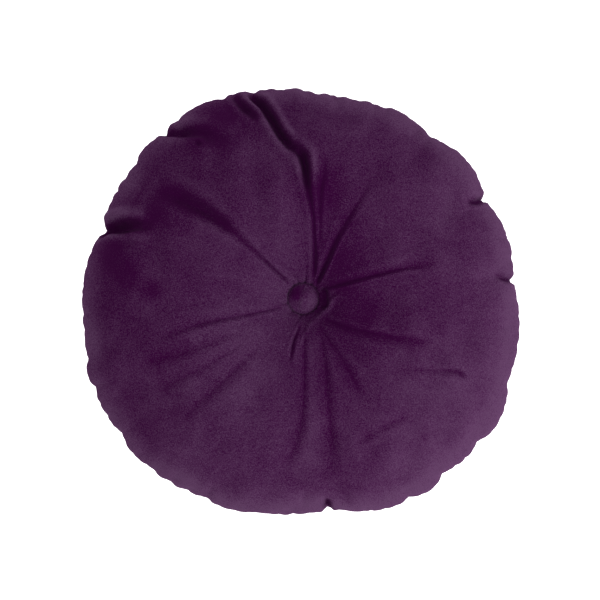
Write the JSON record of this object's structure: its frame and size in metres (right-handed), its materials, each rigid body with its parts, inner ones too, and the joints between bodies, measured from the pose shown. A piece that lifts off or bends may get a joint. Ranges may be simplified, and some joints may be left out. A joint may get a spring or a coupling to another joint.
{
  "type": "round velvet cushion",
  "caption": "Round filled cushion in cut-pile velvet, drawn in at the middle by a covered button on each face, with a puckered seam round the rim.",
  "frame": {"origin": "on the surface that the cushion lies on, under the middle of its outline's box", "axes": "+Z out of the upper face, along the buttons' axis; +Y towards the edge that is uppermost in the picture; +X to the right in it"},
  "size_m": [0.4004, 0.3898, 0.1086],
  "materials": {
    "velvet": "plum cut-pile velvet, matt with a soft sheen at grazing angles"
  },
  "bodies": {
    "root": {"cushion": "velvet", "front_button": "velvet", "back_button": "velvet"}
  },
  "joints": []
}
